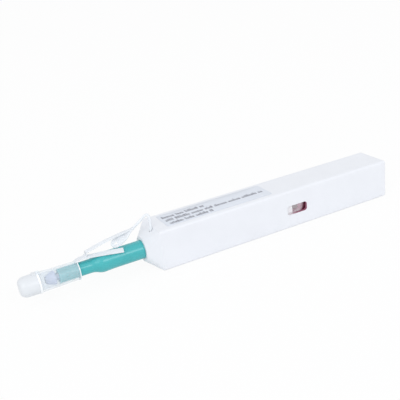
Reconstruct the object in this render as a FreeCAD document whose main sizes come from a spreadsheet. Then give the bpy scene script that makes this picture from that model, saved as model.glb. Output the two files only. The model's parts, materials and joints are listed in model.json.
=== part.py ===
"""Fibre connector cleaning pen: a push-to-click cleaner for 2.5 mm ferrules.

Frame, in millimetres: +Z up, X along the pen with the nozzle towards -X, and the
origin at the centre of the housing's flat underside, on which the pen lies.

A square housing of two moulded half shells slides over an inner carriage.  The
carriage holds the nozzle, the two tape reels and a hollow shaft with a helical
groove.  Pushing the nozzle in by one stroke rolls the drive pinion along the feed
rack and turns the cleaning tip by half a turn, and the return spring pushes the
carriage back out.  A guide cap with a hinged lid fits over the nozzle, and a
moulded strap ties it to an eyelet in the housing's nose.
"""
import FreeCAD, Part
import math
import os
import re

import Sketcher

Vector = FreeCAD.Vector
Rotation = FreeCAD.Rotation

doc = FreeCAD.newDocument("CleaningPen")

# --------------------------------------------------------------------------
# Driving dimensions (mm, and counts where the name says so)
# --------------------------------------------------------------------------
SIZES = {
    # housing
    "body_length": 118.0,
    "body_width": 18.0,
    "body_height": 18.0,
    "wall": 1.4,
    "edge_radius": 1.2,
    "rear_radius": 0.9,
    "nose_length": 5.5,
    "nose_front_width": 10.6,
    "nose_front_radius": 4.9,
    "axis_height": 8.6,
    "tongue_depth": 0.8,
    "tongue_gap": 0.08,
    "window_length": 10.5,
    "window_height": 4.3,
    "window_corner": 1.3,
    "window_offset": -0.25,
    "window_sill": 6.5,
    "eyelet_dia": 1.6,
    "eyelet_setback": 1.3,
    "eyelet_side": 2.6,
    "eyelet_depth": 3.0,
    # label
    "label_length": 51.0,
    "label_width": 12.4,
    "label_thick": 0.15,
    "label_front_gap": 5.0,
    # stroke and fits
    "stroke": 8.5,
    "slide_gap": 0.3,
    "running_gap": 0.04,
    # nozzle
    "nozzle_dia": 8.7,
    "nozzle_bore": 5.5,
    "nozzle_reach": 23.4,
    "flange_dia": 12.0,
    "flange_thick": 3.0,
    "cone_length": 3.0,
    "spout_dia": 6.2,
    "spout_bore": 4.0,
    "spout_length": 15.4,
    # carriage
    "bulkhead_thick": 3.0,
    "plate_thick": 1.2,
    "rear_room": 1.9,
    "rear_plate_thick": 2.0,
    "bearing_thick": 4.0,
    "blind_thick": 0.6,
    "blind_gap": 0.3,
    "blind_height": 8.0,
    "blind_overlap": 0.35,
    # tip shaft and cleaning tip
    "helix_lead": 17.0,
    "helix_dia": 5.0,
    "groove_depth": 0.7,
    "groove_width": 2.4,
    "pin_dia": 1.0,
    "pin_setback": 4.0,
    "shaft_setback": 9.4,
    "shaft_dia": 3.8,
    "shaft_bore": 2.4,
    "shaft_front_gap": 6.8,
    "journal_dia": 3.2,
    "tip_dia": 3.0,
    "tip_reach": 5.2,
    "tip_stem_flat": 1.5,
    "tip_slot_width": 1.1,
    "tip_seat": 0.8,
    "tip_stem_length": 9.0,
    "tip_spring_dia": 2.9,
    "tip_spring_wire": 0.28,
    "tip_spring_turns": 7,
    # reels
    "reel_room": 1.0,
    "hub_dia": 4.4,
    "axle_dia": 2.0,
    "flange_wall": 0.8,
    "reel_side_gap": 1.2,
    "takeup_x": 8.0,
    "reel_spacing_gap": 1.3,
    "takeup_roll_dia": 7.6,
    "supply_roll_dia": 11.2,
    "guide_pin_dia": 1.4,
    "guide_pin_setback": 3.2,
    "guide_pin_rise": 3.1,
    "tape_width": 0.8,
    "tape_thick": 0.12,
    "tape_lift": 0.9,
    # rack and pinion
    "gear_module": 0.5,
    "pinion_teeth": 18,
    "gear_width": 1.7,
    "gear_gap": 0.2,
    "rack_run_on": 5.0,
    "ratchet_teeth": 24,
    "ratchet_depth": 0.5,
    # return spring
    "spring_dia": 8.0,
    "spring_wire": 0.7,
    "spring_turns": 8,
    "spring_boss_dia": 5.0,
    "spring_boss_length": 3.0,
    # guide cap and lid
    "cap_rear_dia": 7.8,
    "cap_rim": 0.2,
    "cap_front_dia": 8.5,
    "cap_length": 16.8,
    "cap_grip": 8.4,
    "cap_collar": 5.0,
    "cap_front_wall": 1.3,
    "ferrule_bore": 2.58,
    "guide_dia": 4.2,
    "guide_length": 4.0,
    "lid_dia": 8.7,
    "lid_length": 7.4,
    "lid_wall": 0.95,
    "lid_round": 1.2,
    "lip_height": 0.8,
    "lip_gap": 0.1,
    "hinge_width": 2.8,
    "hinge_reach": 2.0,
    "hinge_rise": 0.4,
    # strap
    "strap_width": 2.4,
    "strap_thick": 0.6,
    "strap_fold_back": 4.2,
    "strap_fold_rise": 2.4,
    "band_width": 3.2,
    "band_lean": 38.0,
    "paddle_width": 4.2,
    "paddle_length": 9.4,
    "paddle_clearance": 1.2,
    "paddle_hole": 1.2,
    "knot_dia": 1.5,
    "knot_setback": 2.7,
    "knot_rise": 0.95,
    "tie_dia": 0.6,
    "tie_arch": 6.2,
}

# Sizes that follow from the others, so that the inner parts keep their fits.
DERIVED = {
    "plate_face": "body_width/2 - wall - slide_gap - plate_thick",
    "gear_near": "plate_face - gear_gap - gear_width",
    "reel_far": "gear_near - gear_gap",
    "reel_near": "body_width/2 - wall - reel_side_gap",
    "reel_dia": "body_height - 2*wall - 2*reel_room",
    "reel_height": "body_height/2",
    "supply_x": "takeup_x + reel_dia + reel_spacing_gap",
    "carriage_rear": "supply_x + reel_dia/2 + rear_room + rear_plate_thick",
    "helix_rear": "takeup_x - reel_dia/2 - shaft_setback",
    "shaft_rear": "helix_rear + bearing_thick + 1",
    "pin_x": "helix_rear - pin_setback",
    "guide_pin_x": "takeup_x - reel_dia/2 - guide_pin_setback",
    "guide_pin_height": "reel_height + guide_pin_rise",
    "window_centre": "takeup_x + window_offset",
}

NAMES = {*SIZES, *DERIVED}

sheet = doc.addObject("Spreadsheet::Sheet", "Sizes")
for row, (alias, number) in enumerate(SIZES.items(), start=1):
    sheet.set(f"A{row}", alias.replace("_", " "))
    sheet.set(f"B{row}", str(number))
    sheet.setAlias(f"B{row}", alias)
doc.recompute()
for row, (alias, formula) in enumerate(DERIVED.items(), start=len(SIZES) + 2):
    sheet.set(f"A{row}", alias.replace("_", " "))
    sheet.set(f"B{row}", "=" + formula)
    sheet.setAlias(f"B{row}", alias)
    doc.recompute()


def size(expression):
    """The present value of a dimension, or of an expression of dimensions."""
    return float(sheet.evalExpression(expression))


def linked(expression):
    """An expression in which each dimension's name points to its cell."""
    return re.sub(
        r"[a-z]\w*",
        lambda word: "Sizes." + word.group() if word.group() in NAMES else word.group(),
        expression,
    )


def bind(thing, **expressions):
    """Tie properties of an object to the sheet; Base_x stands for Placement.Base.x."""
    for name, expression in expressions.items():
        path = name.replace("Base_", "Placement.Base.")
        thing.setExpression(path, linked(str(expression)))


# Stations that several pieces share, as expressions.
FRONT = "(-body_length/2)"
REAR = "(body_length/2)"
NOSE_TIP = "(-body_length/2 - nose_length)"
STOP = "(-body_length/2 + wall)"
FLANGE_REAR = "(-body_length/2 + wall + flange_thick)"
SPOUT_TIP = "(-body_length/2 - nozzle_reach - cone_length - spout_length)"
TIP_FACE = f"({SPOUT_TIP} - tip_reach)"
TIP_SHOULDER = f"({SPOUT_TIP} + tip_seat)"
CAP_REAR = f"({SPOUT_TIP} + cap_grip)"
CAP_FRONT = f"({SPOUT_TIP} + cap_grip - cap_length)"
CAP_RIM_RADIUS = "(cap_rear_dia/2 + cap_rim)"
NOZZLE_TOP = "(axis_height + nozzle_dia/2)"
HINGE_HEIGHT = "(axis_height + lid_dia/2 + hinge_rise)"
KNOT_X = f"({NOSE_TIP} - knot_setback)"
KNOT_HEIGHT = "(body_height + knot_rise)"
PADDLE_X = f"({KNOT_X} - paddle_length)"
PADDLE_HEIGHT = f"({NOZZLE_TOP} + paddle_clearance)"

# Gear tooth form shared by the rack and the pinion.
PRESSURE_ANGLE = 20.0
BACKLASH = 0.06

X_FORWARD = Rotation(Vector(0, -1, 0), Vector(0, 0, 1), Vector(-1, 0, 0))
X_BACK = Rotation(Vector(0, 1, 0), 90)
Y_NEAR = Rotation(Vector(1, 0, 0), 90)
Y_FAR = Rotation(Vector(1, 0, 0), -90)


# --------------------------------------------------------------------------
# Makers
# --------------------------------------------------------------------------
def box(name, low, extent):
    """A block from its low corner and its size, three expressions each."""
    block = doc.addObject("Part::Box", name)
    bind(block, Length=extent[0], Width=extent[1], Height=extent[2],
         Base_x=low[0], Base_y=low[1], Base_z=low[2])
    return block


def rod(name, radius, length, start, turn=X_BACK):
    """A cylinder from the centre of its first end, along the turned Z axis."""
    cylinder = doc.addObject("Part::Cylinder", name)
    cylinder.Placement = FreeCAD.Placement(Vector(), turn)
    bind(cylinder, Radius=radius, Height=length,
         Base_x=start[0], Base_y=start[1], Base_z=start[2])
    return cylinder


def joined(name, *pieces):
    """The pieces fused into one solid."""
    fusion = doc.addObject("Part::MultiFuse", name)
    fusion.Shapes = list(pieces)
    fusion.Refine = True
    return fusion


def cut(name, base, *tools):
    """The base with every tool taken out of it."""
    for count, tool in enumerate(tools, start=1):
        step = name if count == len(tools) else f"{name}_cut{count}"
        result = doc.addObject("Part::Cut", step)
        result.Base = base
        result.Tool = tool
        base = result
    return base


def shared(name, first, second):
    """What two solids have in common."""
    common = doc.addObject("Part::Common", name)
    common.Base = first
    common.Tool = second
    return common


def solid_feature(name, shape):
    """A piece whose shape is worked out here from the sheet's values."""
    feature = doc.addObject("Part::Feature", name)
    feature.Shape = shape
    return feature


def origin_plane(body, role):
    return next(part for part in body.Origin.OriginFeatures if part.Role == role)


def new_sketch(body, name, role, offset="0"):
    """A sketch on one of the body's own origin planes, moved out along its normal."""
    sketch = body.newObject("Sketcher::SketchObject", name)
    sketch.AttachmentSupport = (origin_plane(body, role), [""])
    sketch.MapMode = "FlatFace"
    sketch.setExpression("AttachmentOffset.Base.z", linked(offset))
    return sketch


def pin_point(sketch, line, across, up):
    """Hold the start of a line at bound coordinates."""
    for kind, expression in (("DistanceX", across), ("DistanceY", up)):
        index = sketch.addConstraint(Sketcher.Constraint(kind, line, 1, 1.0))
        sketch.setExpression(f"Constraints[{index}]", linked(expression))


def draw_outline(sketch, corners):
    """A closed outline whose corners are pairs of expressions."""
    count = len(corners)
    rough = [Vector(5 + 4 * math.cos(2 * math.pi * k / count),
                    5 + 4 * math.sin(2 * math.pi * k / count), 0) for k in range(count)]
    for k in range(count):
        sketch.addGeometry(Part.LineSegment(rough[k], rough[(k + 1) % count]))
    for k in range(count):
        sketch.addConstraint(Sketcher.Constraint("Coincident", k, 2, (k + 1) % count, 1))
    for k, (across, up) in enumerate(corners):
        pin_point(sketch, k, across, up)


def turned(name, outline, at, turn):
    """A body of revolution from an outline of (along, radius) pairs."""
    body = doc.addObject("PartDesign::Body", name)
    sketch = new_sketch(body, name + "Outline", "XZ_Plane")
    draw_outline(sketch, outline)
    revolution = body.newObject("PartDesign::Revolution", name + "Turning")
    revolution.Profile = sketch
    revolution.ReferenceAxis = (sketch, ["H_Axis"])
    revolution.Angle = 360
    body.Placement = FreeCAD.Placement(Vector(), turn)
    bind(body, Base_x=at[0], Base_y=at[1], Base_z=at[2])
    return body


FORWARD_TURN = Rotation(Vector(0, 0, 1), 180)
FARWARD_TURN = Rotation(Vector(0, 0, 1), 90)


def draw_rounded_square(sketch, half, low, high, radius):
    """Four sides and four corner arcs, centred on the sketch's vertical axis."""
    reach, bottom, top, bend = 4.0, 2.0, 10.0, 1.0
    sides = (
        (-reach + bend, bottom, reach - bend, bottom),
        (reach, bottom + bend, reach, top - bend),
        (reach - bend, top, -reach + bend, top),
        (-reach, top - bend, -reach, bottom + bend),
    )
    centres = (
        (reach - bend, bottom + bend, -0.5), (reach - bend, top - bend, 0.0),
        (-reach + bend, top - bend, 0.5), (-reach + bend, bottom + bend, 1.0),
    )
    for x0, y0, x1, y1 in sides:
        sketch.addGeometry(Part.LineSegment(Vector(x0, y0, 0), Vector(x1, y1, 0)))
    for x, y, start in centres:
        circle = Part.Circle(Vector(x, y, 0), Vector(0, 0, 1), bend)
        sketch.addGeometry(
            Part.ArcOfCircle(circle, start * math.pi, (start + 0.5) * math.pi))
    for side in range(4):
        arc = 4 + side
        sketch.addConstraint(Sketcher.Constraint("Tangent", side, 2, arc, 1))
        sketch.addConstraint(Sketcher.Constraint("Tangent", arc, 2, (side + 1) % 4, 1))
    for side in (0, 2):
        sketch.addConstraint(Sketcher.Constraint("Horizontal", side))
    for side in (1, 3):
        sketch.addConstraint(Sketcher.Constraint("Vertical", side))
    for arc in (5, 6, 7):
        sketch.addConstraint(Sketcher.Constraint("Equal", 4, arc))
    bound = (
        (Sketcher.Constraint("Radius", 4, bend), radius),
        (Sketcher.Constraint("DistanceX", 1, 1, reach), half),
        (Sketcher.Constraint("DistanceX", 3, 1, -1, 1, reach), half),
        (Sketcher.Constraint("DistanceY", 0, 1, bottom), low),
        (Sketcher.Constraint("DistanceY", 2, 1, top), high),
    )
    for constraint, expression in bound:
        index = sketch.addConstraint(constraint)
        sketch.setExpression(f"Constraints[{index}]", linked(expression))


# --------------------------------------------------------------------------
# Housing
# --------------------------------------------------------------------------
def housing_form():
    """The closed outside of the housing: a rounded square bar with a tapered nose."""
    body = doc.addObject("PartDesign::Body", "HousingForm")
    lift = 20.0
    section = new_sketch(body, "BarSection", "YZ_Plane", FRONT)
    draw_rounded_square(section, "body_width/2", f"{lift}", f"{lift} + body_height",
                        "edge_radius")
    bar = body.newObject("PartDesign::Pad", "Bar")
    bar.Profile = section
    bar.setExpression("Length", linked("body_length"))
    root = new_sketch(body, "NoseRoot", "YZ_Plane", FRONT)
    draw_rounded_square(root, "body_width/2", f"{lift}", f"{lift} + body_height",
                        "edge_radius")
    front = new_sketch(body, "NoseFront", "YZ_Plane", NOSE_TIP)
    draw_rounded_square(front, "nose_front_width/2",
                        f"{lift} + axis_height - nose_front_width/2",
                        f"{lift} + axis_height + nose_front_width/2",
                        "nose_front_radius")
    nose = body.newObject("PartDesign::AdditiveLoft", "Nose")
    nose.Profile = root
    nose.Sections = [front]
    nose.Ruled = True
    doc.recompute()
    rear = size("body_length") / 2
    edges = [f"Edge{n}" for n, edge in enumerate(nose.Shape.Edges, start=1)
             if abs(edge.BoundBox.XMin - rear) < 1e-4 and edge.BoundBox.XLength < 1e-4]
    rounding = body.newObject("PartDesign::Fillet", "RearEdge")
    rounding.Base = (nose, edges)
    rounding.setExpression("Radius", linked("rear_radius"))
    body.Placement.Base = Vector(0, 0, -lift)
    return body


def housing_shells():
    """Two half shells that meet on the pen's middle plane."""
    form = housing_form()
    cavity = box("HousingCavity", (STOP, "-body_width/2 + wall", "wall"),
                 ("body_length - 2*wall", "body_width - 2*wall", "body_height - 2*wall"))
    bore = rod("NoseBore", "nozzle_dia/2 + slide_gap", "nose_length + 2*wall",
               (NOSE_TIP + " - wall/2", "0", "axis_height"))
    hollow = cut("HousingHollow", form, cavity, bore)

    halves = {}
    for side, low in (("Near", "-body_width/2 - 1"), ("Far", "0")):
        half = box(side + "HalfSpace", (NOSE_TIP + " - 1", low, "-1"),
                   ("body_length + nose_length + 2", "body_width/2 + 1",
                    "body_height + 2"))
        halves[side] = shared(side + "Half", hollow, half)

    tongues = []
    grooves = []
    for level, low in (("Floor", "wall/2"), ("Roof", "body_height - wall")):
        start = (STOP + " + wall", "-tongue_depth", low)
        tongues.append(box(level + "Tongue", start,
                           ("body_length - 4*wall", "2*tongue_depth", "wall/2")))
        grooves.append(box(
            level + "Groove",
            (STOP + " + wall - tongue_gap", "-tongue_depth", low + " - tongue_gap"),
            ("body_length - 4*wall + 2*tongue_gap", "2*tongue_depth + tongue_gap",
             "wall/2 + 2*tongue_gap")))

    boss_rear = rod("SpringBoss", "spring_boss_dia/2", "spring_boss_length",
                    (REAR + " - wall - spring_boss_length", "0", "reel_height"))
    near_boss = shared("NearSpringBoss", boss_rear, doc.getObject("NearHalfSpace"))
    far_boss = shared("FarSpringBoss", boss_rear, doc.getObject("FarHalfSpace"))

    pin_boss = rod("PinBoss", "1.5*pin_dia", "2.5*pin_dia",
                   ("pin_x", "-body_width/2 + wall + 2.5*pin_dia", "axis_height"), Y_NEAR)
    pin_hole = rod("PinHole", "pin_dia/2", "2.5*pin_dia + wall/2",
                   ("pin_x", "-body_width/2 + wall + 2.5*pin_dia", "axis_height"), Y_NEAR)

    slot = window_slot()
    eyelet = rod("EyeletHole", "eyelet_dia/2", "2*eyelet_depth",
                 (FRONT + " - eyelet_setback", "-eyelet_side",
                  "body_height - wall - eyelet_depth"), Rotation())

    near = joined("NearShellBlank", halves["Near"], near_boss, pin_boss, *tongues)
    near = cut("housing_near_shell", near, pin_hole, slot, eyelet)
    far = joined("FarShellBlank", halves["Far"], far_boss)
    far = cut("housing_far_shell", far, *grooves)
    return [near, far]


def window_slot():
    """The rounded opening in the near side that shows the take-up reel."""
    body = doc.addObject("PartDesign::Body", "WindowSlot")
    sketch = new_sketch(body, "WindowOutline", "XZ_Plane", "body_width/2 - wall - 1")
    draw_rounded_square(sketch, "window_length/2", "window_sill",
                        "window_sill + window_height", "window_corner")
    pad = body.newObject("PartDesign::Pad", "WindowDepth")
    pad.Profile = sketch
    pad.setExpression("Length", linked("wall + 2"))
    bind(body, Base_x="window_centre")
    return body


def top_label():
    """A thin label with rounded corners, stuck to the top face."""
    body = doc.addObject("PartDesign::Body", "top_label")
    sketch = new_sketch(body, "LabelOutline", "XY_Plane")
    draw_rounded_square(sketch, "label_width/2", "2", "2 + label_length", "0.8")
    pad = body.newObject("PartDesign::Pad", "LabelFilm")
    pad.Profile = sketch
    pad.setExpression("Length", linked("label_thick"))
    body.Placement = FreeCAD.Placement(Vector(), Rotation(Vector(0, 0, 1), -90))
    bind(body, Base_x=FRONT + " + label_front_gap - 2", Base_z="body_height")
    return body


def feed_rack():
    """A straight rack under the housing's roof, in mesh with the drive pinion."""
    module = size("gear_module")
    pitch = math.pi * module
    pitch_line = size("reel_height") + module * size("pinion_teeth") / 2
    roof = size("body_height") - size("wall")
    near = size("gear_near")
    first = size("takeup_x") - size("rack_run_on")
    last = size("takeup_x") + size("stroke") + size("rack_run_on")
    slope = math.tan(math.radians(PRESSURE_ANGLE))
    crest = -0.9 * module
    root = 1.25 * module
    half = pitch / 4 - BACKLASH

    outline = [Vector(first, near, roof), Vector(first, near, pitch_line + root)]
    tooth = math.ceil((first - size("takeup_x")) / pitch + 0.5)
    while size("takeup_x") + (tooth + 0.5) * pitch < last:
        middle = size("takeup_x") + tooth * pitch
        for side, level in ((-1, root), (-1, crest), (1, crest), (1, root)):
            reach = half + slope * level
            outline.append(Vector(middle + side * reach, near, pitch_line + level))
        tooth += 1
    outline += [Vector(last, near, pitch_line + root), Vector(last, near, roof)]
    face = Part.Face(Part.makePolygon(outline + outline[:1]))
    return solid_feature("feed_rack", face.extrude(Vector(0, size("gear_width"), 0)))


def turn_pin():
    """The fixed pin that runs in the shaft's helical groove."""
    return rod("turn_pin", "pin_dia/2",
               "body_width/2 - wall/2 - helix_dia/2 + groove_depth - 0.15",
               ("pin_x", "-helix_dia/2 + groove_depth - 0.15", "axis_height"), Y_NEAR)


def swept(path, diameter, sides):
    """A round section, drawn with flat sides, carried along a run of points."""
    ring = Part.makeCircle(diameter / 2, path[0], path[1] - path[0]).discretize(sides + 1)
    section = Part.makePolygon(ring[:sides] + ring[:1])
    square_corners = 1
    return Part.makePolygon(path).makePipeShell([section], True, False, square_corners)


def coil(name, diameter, wire, turns, length, start):
    """A coil spring of a given free length, from its front end towards the rear."""
    points_per_turn = 10
    radius = size(diameter) / 2
    rise = size(f"{length} - {wire}")
    count = int(size(turns) * points_per_turn)
    path = []
    for k in range(count + 1):
        angle = 2 * math.pi * k / points_per_turn
        path.append(Vector(radius * math.cos(angle), radius * math.sin(angle),
                           size(wire) / 2 + rise * k / count))
    spring = solid_feature(name, swept(path, size(wire), 6))
    spring.Placement = FreeCAD.Placement(Vector(), X_BACK)
    bind(spring, Base_x=start[0], Base_y=start[1], Base_z=start[2])
    return spring


def return_spring():
    """Pushes the carriage out again after each stroke."""
    return coil("return_spring", "spring_dia", "spring_wire", "spring_turns",
                "(body_length/2 - wall - carriage_rear)",
                ("carriage_rear", "0", "reel_height"))


# --------------------------------------------------------------------------
# Carriage
# --------------------------------------------------------------------------
def nozzle():
    """Flanged tube that leaves the housing and narrows to a spout."""
    outline = (
        ("0", "nozzle_bore/2"),
        ("wall + flange_thick + nozzle_reach", "nozzle_bore/2"),
        ("wall + flange_thick + nozzle_reach", "spout_bore/2"),
        ("wall + flange_thick + nozzle_reach + cone_length + spout_length",
         "spout_bore/2"),
        ("wall + flange_thick + nozzle_reach + cone_length + spout_length",
         "spout_dia/2 - 0.3"),
        ("wall + flange_thick + nozzle_reach + cone_length + spout_length - 0.4",
         "spout_dia/2"),
        ("wall + flange_thick + nozzle_reach + cone_length", "spout_dia/2"),
        ("wall + flange_thick + nozzle_reach", "nozzle_dia/2"),
        ("flange_thick", "nozzle_dia/2"),
        ("flange_thick", "flange_dia/2"),
        ("0", "flange_dia/2"),
    )
    return turned("nozzle", outline, (FLANGE_REAR, "0", "axis_height"), FORWARD_TURN)


def carriage_frame():
    """Moulded chassis: a side plate with a front, a middle and a rear wall."""
    low = "(wall + slide_gap + 0.3)"
    tall = "(body_height - 2*wall - 2*slide_gap - 0.6)"
    near = "(-body_width/2 + wall + slide_gap + 0.3)"
    across = "(body_width/2 - wall - slide_gap - " + near + ")"
    plate = box("SidePlate", (FLANGE_REAR, "plate_face", low),
                ("carriage_rear - " + FLANGE_REAR, "plate_thick", tall))
    front = box("FrontWall", (FLANGE_REAR, near, low), ("bulkhead_thick", across, tall))
    rear = box("RearWall", ("carriage_rear - rear_plate_thick", near, low),
               ("rear_plate_thick", across, tall))
    middle = box("BearingWall", ("helix_rear + 0.5", "-journal_dia",
                                 "axis_height - journal_dia"),
                 ("bearing_thick", "plate_face + journal_dia + plate_thick/2",
                  "2*journal_dia"))
    post = box("PawlPost", ("helix_rear + 0.5", "-journal_dia", "axis_height"),
               ("bearing_thick", "journal_dia + reel_far",
                low + " + " + tall + " - axis_height"))
    boss = rod("CarriageSpringBoss", "spring_boss_dia/2", "spring_boss_length",
               ("carriage_rear", "0", "reel_height"))
    outer = "(-reel_near - blind_gap - blind_thick)"
    blind = box("WindowBlind", ("helix_rear + 0.5", outer, "reel_height - blind_height/2"),
                ("window_centre - window_length*(0.5 - blind_overlap) - helix_rear - 0.5",
                 "blind_thick", "blind_height"))
    arm = box("BlindArm", ("helix_rear + 0.5", outer, "axis_height + journal_dia/2"),
              ("bearing_thick", "-" + outer + " - journal_dia/2",
               "reel_height + blind_height/2 - axis_height - journal_dia/2"))
    blank = joined("CarriageBlank", plate, front, rear, middle, post, boss, blind, arm)
    shaft_way = rod("ShaftWay", "helix_dia/2 + slide_gap", "bulkhead_thick + 2",
                    (FLANGE_REAR + " - 1", "0", "axis_height"))
    journal = rod("JournalBore", "journal_dia/2 + running_gap", "bearing_thick + 2",
                  ("helix_rear - 0.5", "0", "axis_height"))
    holes = [
        rod(name, "axle_dia/2", "plate_thick + 2", (place, "plate_face - 1",
                                                    "reel_height"), Y_FAR)
        for name, place in (("TakeupAxleHole", "takeup_x"), ("SupplyAxleHole", "supply_x"))
    ]
    holes.append(rod("GuidePinHole", "guide_pin_dia/2", "plate_thick + 2",
                     ("guide_pin_x", "plate_face - 1", "guide_pin_height"), Y_FAR))
    return cut("carriage_frame", blank, shaft_way, journal, *holes)


def reel_axles():
    """Steel pins pressed into the side plate, one for each reel."""
    axles = []
    for name, place in (("takeup_axle", "takeup_x"), ("supply_axle", "supply_x")):
        shank = rod(name + "Shank", "axle_dia/2",
                    "reel_near + 0.3 + plate_face + plate_thick",
                    (place, "-reel_near - 0.3", "reel_height"), Y_FAR)
        head = rod(name + "Head", "axle_dia/2 + 0.4", "0.3",
                   (place, "-reel_near - 0.45", "reel_height"), Y_FAR)
        axles.append(joined(name, shank, head))
    return axles


def tape_guide_pin():
    """Leads the clean tape over the take-up reel's winding."""
    return rod("tape_guide_pin", "guide_pin_dia/2", "3 + plate_face + plate_thick",
               ("guide_pin_x", "-3", "guide_pin_height"), Y_FAR)


def ratchet_pawl():
    """A leaf that reaches from the bearing wall over the take-up reel's ratchet rim."""
    rim = size("reel_dia") / 2 + 0.12
    centre = Vector(size("takeup_x"), 0, size("reel_height"))
    root_x = size("helix_rear") + 0.5 + size("bearing_thick")
    top = size("body_height") - size("wall") - size("slide_gap") - 0.3
    touch = math.radians(118)
    nose = centre + Vector(rim * math.cos(touch), 0, rim * math.sin(touch))
    thick = 0.5
    outline = [
        Vector(root_x, 0, top - 1.6), Vector(root_x + 1.2, 0, top - 1.0),
        nose + Vector(0, 0, 0.05), nose + Vector(0.9, 0, 0.75),
        Vector(root_x + 1.2, 0, top - 1.0 + thick), Vector(root_x, 0, top),
    ]
    face = Part.Face(Part.makePolygon(outline + outline[:1]))
    leaf = face.extrude(Vector(0, size("flange_wall"), 0))
    leaf.translate(Vector(0, size("reel_far") - size("flange_wall"), 0))
    return solid_feature("ratchet_pawl", leaf)


def cleaning_tape():
    """Tape from the supply roll over the guide pin, through the shaft and the tip's
    slots, over its face and back to the take-up roll."""
    thick = size("tape_thick")
    axis = size("axis_height")
    lift = size("tape_lift")
    height = size("reel_height")
    turn = size(TIP_FACE) - thick / 2 - 0.02
    entry = size("shaft_rear") + 0.2
    guide = Vector(size("guide_pin_x"), 0, size("guide_pin_height"))
    wrap = size("guide_pin_dia") / 2 + thick
    over_pin = [guide + Vector(math.cos(angle), 0, math.sin(angle)) * wrap
                for angle in map(math.radians, (82, 120, 160, 200))]

    radius = size("takeup_roll_dia") / 2 + thick / 2 + 0.01
    start = Vector(entry, 0, axis - lift)
    span = Vector(size("takeup_x"), 0, height) - start
    swing = math.asin(radius / span.Length)
    heading = math.atan2(span.z, span.x) - swing
    reach = span.Length * math.cos(swing)
    takeup_end = start + Vector(math.cos(heading), 0, math.sin(heading)) * reach

    route = [
        Vector(size("supply_x"), 0, height + size("supply_roll_dia") / 2 + thick),
        *over_pin,
        Vector(entry, 0, axis + lift),
        Vector(turn, 0, axis + lift),
        Vector(turn, 0, axis - lift),
        start,
        takeup_end,
    ]
    return ribbon("cleaning_tape", route, thick, size("tape_width"))


def ribbon(name, route, thick, width, middle=0.0):
    """A strip of even thickness along a route in the pen's middle plane."""
    sides = ([], [])
    for k, point in enumerate(route):
        back = point - route[k - 1] if k else route[1] - route[0]
        ahead = route[k + 1] - point if k + 1 < len(route) else back
        normals = [Vector(-run.z, 0, run.x).normalize() for run in (back, ahead)]
        bisector = (normals[0] + normals[1]).normalize()
        reach = thick / 2 / max(bisector.dot(normals[0]), 0.3)
        sides[0].append(point + bisector * reach)
        sides[1].append(point - bisector * reach)
    corners = sides[0] + sides[1][::-1]
    face = Part.Face(Part.makePolygon(corners + corners[:1]))
    strip = face.extrude(Vector(0, width, 0))
    strip.translate(Vector(0, middle - width / 2, 0))
    return solid_feature(name, strip)


# --------------------------------------------------------------------------
# Turning shaft and cleaning tip
# --------------------------------------------------------------------------
def tip_shaft():
    """Hollow shaft with a helical groove, in which the fixed pin runs."""
    rear = "shaft_rear"
    helix_front = "(pin_x - stroke - 3)"
    outline = (
        ("0", "shaft_bore/2"),
        (rear + " - " + SPOUT_TIP + " - shaft_front_gap", "shaft_bore/2"),
        (rear + " - " + SPOUT_TIP + " - shaft_front_gap", "shaft_dia/2"),
        (rear + " - " + helix_front + " + 1", "shaft_dia/2"),
        (rear + " - " + helix_front, "helix_dia/2"),
        (rear + " - helix_rear", "helix_dia/2"),
        (rear + " - helix_rear", "journal_dia/2"),
        ("0", "journal_dia/2"),
    )
    blank = turned("ShaftBlank", outline, (rear, "0", "axis_height"), FORWARD_TURN)

    helix = doc.addObject("Part::Helix", "GrooveHelix")
    bind(helix, Pitch="helix_lead", Height="stroke + 1.2", Radius="helix_dia/2")
    section = doc.addObject("Part::Plane", "GrooveSection")
    section.Placement = FreeCAD.Placement(Vector(), Rotation(Vector(1, 0, 0), 90))
    bind(section, Length="groove_depth + 0.5", Width="groove_width",
         Base_x="helix_dia/2 - groove_depth", Base_z="-groove_width/2")
    groove = doc.addObject("Part::Sweep", "Groove")
    groove.Sections = [section]
    groove.Spine = (helix, [])
    groove.Solid = True
    groove.Frenet = True
    groove.Placement = FreeCAD.Placement(Vector(), X_FORWARD)
    bind(groove, Base_x="pin_x", Base_z="axis_height")
    pocket = rod("GroovePocket", "groove_width/2", "groove_depth + 0.5",
                 ("pin_x", "-helix_dia/2 + groove_depth", "axis_height"), Y_NEAR)
    return cut("tip_shaft", blank, groove, pocket)


def tip_spring():
    """Presses the cleaning tip lightly against the ferrule."""
    return coil("tip_spring", "tip_spring_dia", "tip_spring_wire", "tip_spring_turns",
                "(shaft_front_gap - tip_seat)", (TIP_SHOULDER, "0", "axis_height"))


def cleaning_tip():
    """Round head on a flat stem, with a slot above and below for the tape."""
    head = rod("TipHead", "tip_dia/2", "tip_reach + tip_seat",
               (TIP_FACE, "0", "axis_height"))
    stem = rod("TipStem", "shaft_bore/2 - running_gap", "tip_stem_length",
               (TIP_SHOULDER, "0", "axis_height"))
    flats = box("TipFlats", (TIP_SHOULDER, "-tip_dia", "axis_height - tip_stem_flat/2"),
                ("tip_stem_length + 1", "2*tip_dia", "tip_stem_flat"))
    stem_flat = shared("TipStemFlat", stem, flats)
    blank = joined("TipBlank", head, stem_flat)
    slots = [
        box(name, (TIP_FACE + " - 1", "-tip_slot_width/2", low),
            ("tip_reach + 3", "tip_slot_width", "tip_dia/2"))
        for name, low in (("TipSlotTop", "axis_height + tip_stem_flat/2"),
                          ("TipSlotBottom",
                           "axis_height - tip_stem_flat/2 - tip_dia/2"))
    ]
    return cut("cleaning_tip", blank, *slots)


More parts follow.
